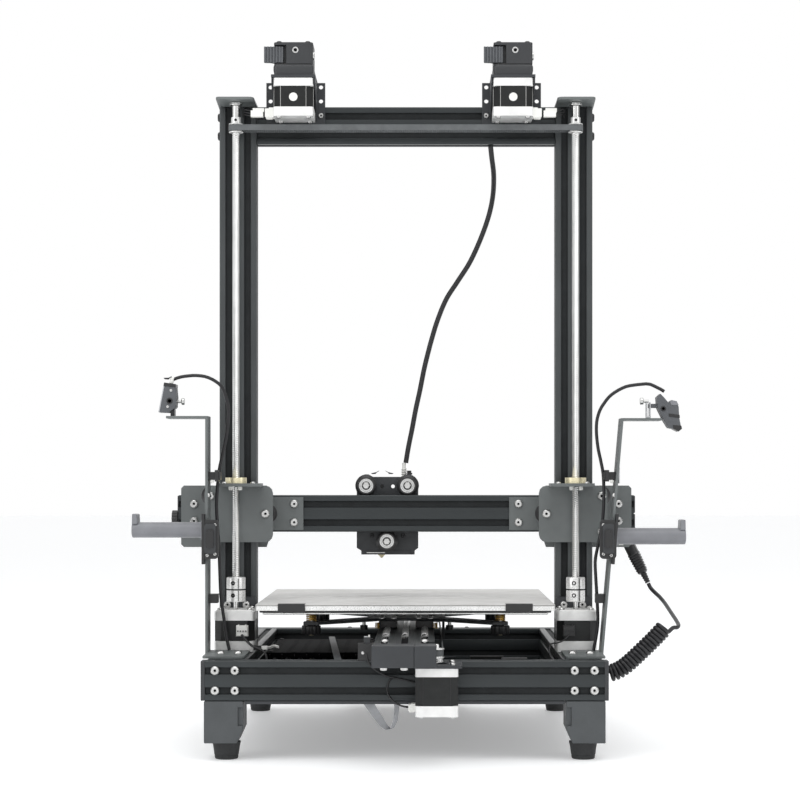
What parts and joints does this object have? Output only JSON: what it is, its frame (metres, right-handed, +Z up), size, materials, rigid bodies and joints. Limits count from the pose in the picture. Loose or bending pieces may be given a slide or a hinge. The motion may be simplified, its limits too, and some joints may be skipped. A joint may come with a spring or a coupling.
{
  "type": "filament 3-d printer",
  "caption": "Open-frame filament printer: slotted-beam base and portal, screw-driven gantry with a wheeled print head, sliding heated bed, feeders on the top beam and side spool arms.",
  "frame": {"origin": "on the floor, under the middle of the whole frame (without its loose cords)", "axes": "+Z up, +X to the right seen from the motor end, +Y from the motor end to the display end"},
  "size_m": [0.575, 0.592, 0.741],
  "materials": {
    "anodised_beam": "black anodised, satin",
    "painted_plate": "dark grey powder coat",
    "moulded_plastic": "fine-textured moulded plastic",
    "motor_case": "black laminated core between bare end caps",
    "bright_steel": "bright turned steel",
    "vented_case": "plain sheet case with vent holes",
    "roller_plastic": "black hard plastic around a bright bearing",
    "build_sheet": "matt coated sheet",
    "belt_rubber": "matt toothed belt",
    "cable_jacket": "soft matt jacket"
  },
  "bodies": {
    "frame": {"near_cross_beam": "anodised_beam", "far_cross_beam": "anodised_beam", "side_rail_left": "anodised_beam", "side_rail_right": "anodised_beam", "upright_left": "anodised_beam", "upright_right": "anodised_beam", "top_beam": "anodised_beam", "y_rail": "anodised_beam", "base_tray": "painted_plate", "top_plate_left": "painted_plate", "top_plate_right": "painted_plate", "extruder_bracket_left": "painted_plate", "extruder_bracket_right": "painted_plate", "support_strip_left": "painted_plate", "support_strip_right": "painted_plate", "foot_near_left": "moulded_plastic", "foot_near_right": "moulded_plastic", "foot_far_left": "moulded_plastic", "foot_far_right": "moulded_plastic", "display_unit": "moulded_plastic", "extruder_body_left": "moulded_plastic", "extruder_body_right": "moulded_plastic", "spool_arm_left": "moulded_plastic", "spool_arm_right": "moulded_plastic", "filament_sensor_left": "moulded_plastic", "filament_sensor_right": "moulded_plastic", "y_motor": "motor_case", "z_motor_left": "motor_case", "z_motor_right": "motor_case", "extruder_motor_left": "motor_case", "extruder_motor_right": "motor_case", "power_supply": "vented_case", "y_belt": "belt_rubber", "z_sync_belt": "belt_rubber", "sensor_cable_left": "cable_jacket", "sensor_cable_right": "cable_jacket", "umbilical_upper": "cable_jacket", "coil_cord": "cable_jacket", "coil_cord_lead": "cable_jacket"},
    "bed": {"heated_bed": "build_sheet", "bed_carriage": "painted_plate"},
    "gantry": {"x_beam": "anodised_beam", "gantry_plate_left": "painted_plate", "gantry_plate_right": "painted_plate", "x_motor": "motor_case", "umbilical_lower": "cable_jacket", "coil_cord_plug": "moulded_plastic"},
    "head": {"x_carriage_plate": "painted_plate", "hot_end": "moulded_plastic"},
    "screw_left": {"leadscrew_left": "bright_steel"},
    "screw_right": {"leadscrew_right": "bright_steel"},
    "wheel_upper_left": {"x_wheel_upper_left": "roller_plastic"},
    "wheel_upper_right": {"x_wheel_upper_right": "roller_plastic"},
    "wheel_lower": {"x_wheel_lower": "roller_plastic"},
    "lever_left": {"extruder_lever_left": "moulded_plastic"},
    "lever_right": {"extruder_lever_right": "moulded_plastic"},
    "knob_near_left": {"levelling_knob_near_left": "moulded_plastic"},
    "knob_near_right": {"levelling_knob_near_right": "moulded_plastic"},
    "knob_far_left": {"levelling_knob_far_left": "moulded_plastic"},
    "knob_far_right": {"levelling_knob_far_right": "moulded_plastic"}
  },
  "joints": [
    {"name": "bed_slide", "type": "slide", "parent": "frame", "child": "bed", "axis": [0, 1, 0], "range_m": [-0.15, 0.15]},
    {"name": "gantry_slide", "type": "slide", "parent": "frame", "child": "gantry", "axis": [0, 0, 1], "range_m": [-0.0415, 0.355], "deforming": ["umbilical_upper", "coil_cord", "coil_cord_lead"]},
    {"name": "carriage_slide", "type": "slide", "parent": "gantry", "child": "head", "axis": [1, 0, 0], "range_m": [-0.122, 0.178], "deforming": ["umbilical_lower"]},
    {"name": "screw_turn_left", "type": "hinge", "parent": "frame", "child": "screw_left", "pos_m": [-0.18, -0.091, 0.339], "axis": [0, 0, 1], "continuous": true},
    {"name": "screw_turn_right", "type": "hinge", "parent": "frame", "child": "screw_right", "pos_m": [0.18, -0.091, 0.339], "axis": [0, 0, 1], "continuous": true},
    {"name": "wheel_turn_upper_left", "type": "hinge", "parent": "head", "child": "wheel_upper_left", "pos_m": [-0.044, -0.021, 0.2748], "axis": [0, 1, 0], "continuous": true},
    {"name": "wheel_turn_upper_right", "type": "hinge", "parent": "head", "child": "wheel_upper_right", "pos_m": [0.0012, -0.021, 0.2748], "axis": [0, 1, 0], "continuous": true},
    {"name": "wheel_turn_lower", "type": "hinge", "parent": "head", "child": "wheel_lower", "pos_m": [-0.0214, -0.021, 0.214], "axis": [0, 1, 0], "continuous": true},
    {"name": "lever_press_left", "type": "hinge", "parent": "frame", "child": "lever_left", "pos_m": [-0.1355, -0.076, 0.7281], "axis": [0, 0, 1], "range_deg": [0, 4], "stiffness_Nm_per_rad": 0.6, "springref_deg": -2.86},
    {"name": "lever_press_right", "type": "hinge", "parent": "frame", "child": "lever_right", "pos_m": [0.0955, -0.076, 0.7281], "axis": [0, 0, 1], "range_deg": [0, 4], "stiffness_Nm_per_rad": 0.6, "springref_deg": -2.86},
    {"name": "knob_turn_near_left", "type": "hinge", "parent": "bed", "child": "knob_near_left", "pos_m": [-0.1, -0.095, 0.1225], "axis": [0, 0, 1], "continuous": true},
    {"name": "knob_turn_near_right", "type": "hinge", "parent": "bed", "child": "knob_near_right", "pos_m": [0.1, -0.095, 0.1225], "axis": [0, 0, 1], "continuous": true},
    {"name": "knob_turn_far_left", "type": "hinge", "parent": "bed", "child": "knob_far_left", "pos_m": [-0.1, 0.105, 0.1225], "axis": [0, 0, 1], "continuous": true},
    {"name": "knob_turn_far_right", "type": "hinge", "parent": "bed", "child": "knob_far_right", "pos_m": [0.1, 0.105, 0.1225], "axis": [0, 0, 1], "continuous": true}
  ],
  "couplings": [
    {"joint": "screw_turn_left", "follows": "gantry_slide", "rad_per_m": 785.4},
    {"joint": "screw_turn_right", "follows": "gantry_slide", "rad_per_m": 785.4},
    {"joint": "wheel_turn_upper_left", "follows": "carriage_slide", "rad_per_m": 97.087},
    {"joint": "wheel_turn_upper_right", "follows": "carriage_slide", "rad_per_m": 97.087},
    {"joint": "wheel_turn_lower", "follows": "carriage_slide", "rad_per_m": -95.238}
  ]
}
